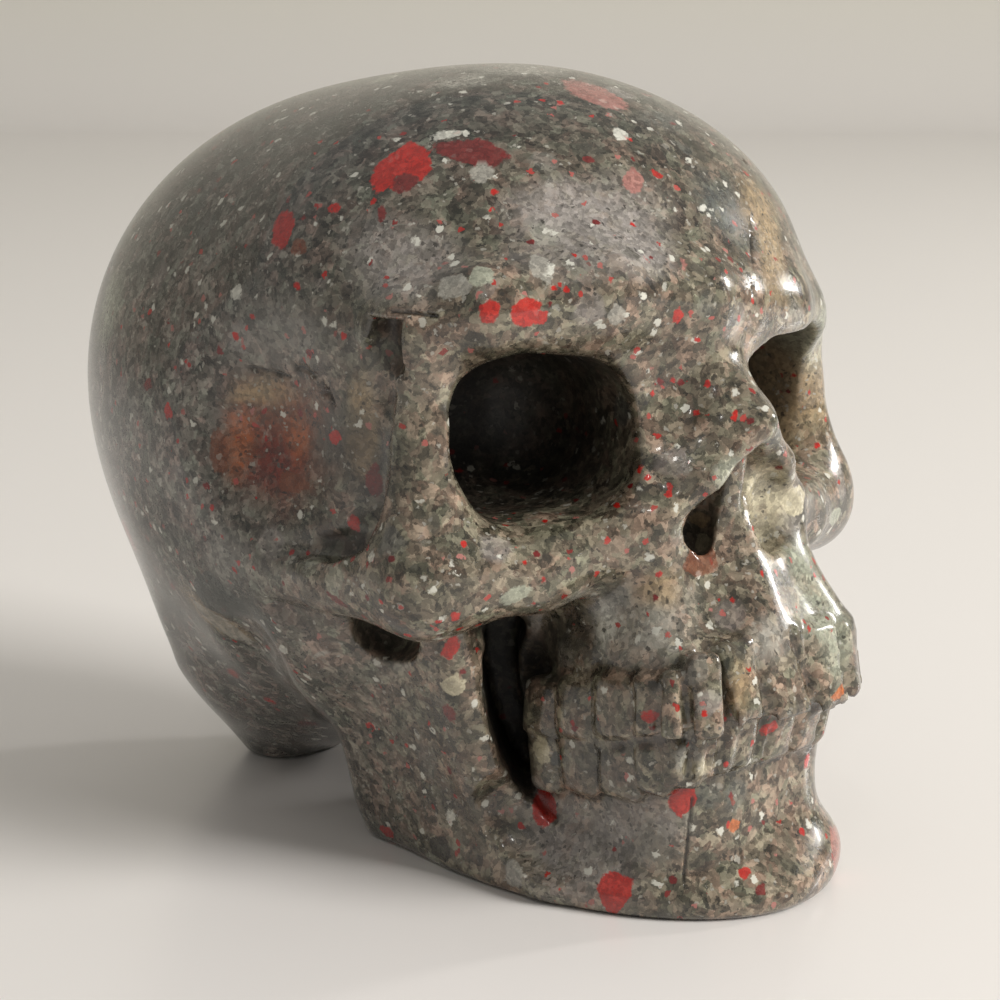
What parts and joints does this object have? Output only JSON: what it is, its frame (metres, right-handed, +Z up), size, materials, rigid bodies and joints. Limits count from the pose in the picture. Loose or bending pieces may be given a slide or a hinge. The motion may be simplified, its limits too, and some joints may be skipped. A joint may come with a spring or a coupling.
{
  "type": "carved stone skull",
  "caption": "Small human skull carved and polished from one stone, with hollow eye sockets, parted nose opening, cheek arches, two rows of teeth and a flat base under the jaw.",
  "frame": {"origin": "middle of the bounding box at the level of the flat base under the jaw, on the skull's midline", "axes": "+Z up from the table, -Y the way the face looks, -X the skull's right side"},
  "size_m": [0.0325, 0.0462, 0.0387],
  "materials": {
    "african_bloodstone": "high polish, grey-green and mauve grains with cream chips and red jasper spots"
  },
  "bodies": {
    "root": {"stone_skull": "african_bloodstone"}
  },
  "joints": []
}
